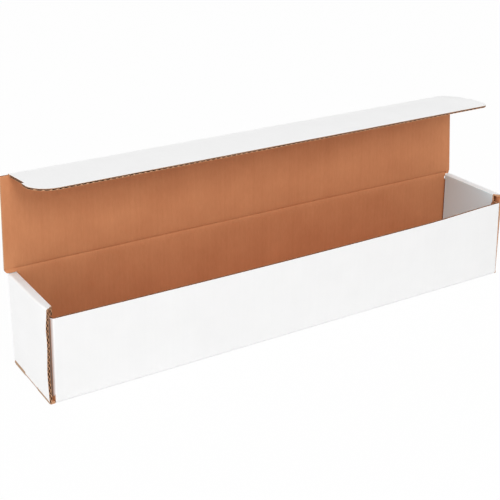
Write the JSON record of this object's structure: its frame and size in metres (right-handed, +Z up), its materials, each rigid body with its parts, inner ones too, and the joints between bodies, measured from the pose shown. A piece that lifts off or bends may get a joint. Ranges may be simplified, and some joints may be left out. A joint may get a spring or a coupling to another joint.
{
  "type": "corrugated mailer box",
  "caption": "Long folded corrugated mailer box with rolled-over ends, a hinged lid and a tuck flap; white outside, brown kraft inside.",
  "frame": {"origin": "middle of the base's underside", "axes": "+X along the length, -Y out of the front wall, +Z up; the lid hinges at the top of the back wall on the +Y side"},
  "size_m": [0.63, 0.1082, 0.2246],
  "materials": {
    "tray_board": "white-lined corrugated board, matt, brown kraft on the inside",
    "lid_board": "corrugated board, matt, brown kraft on the inside and white on the outside",
    "flap_board": "white-lined corrugated board, matt, brown kraft on the underside"
  },
  "bodies": {
    "tray": {"tray": "tray_board"},
    "lid": {"lid": "lid_board"},
    "tuck_flap": {"tuck_flap": "flap_board"}
  },
  "joints": [
    {"name": "lid_hinge", "type": "hinge", "parent": "tray", "child": "lid", "pos_m": [0, 0.0505, 0.1119], "axis": [1, 0, 0], "range_deg": [-90.5, 89.5]},
    {"name": "tuck_hinge", "type": "hinge", "parent": "lid", "child": "tuck_flap", "pos_m": [0, 0.04956, 0.2199], "axis": [1, 0, 0], "range_deg": [-87, 44]}
  ]
}
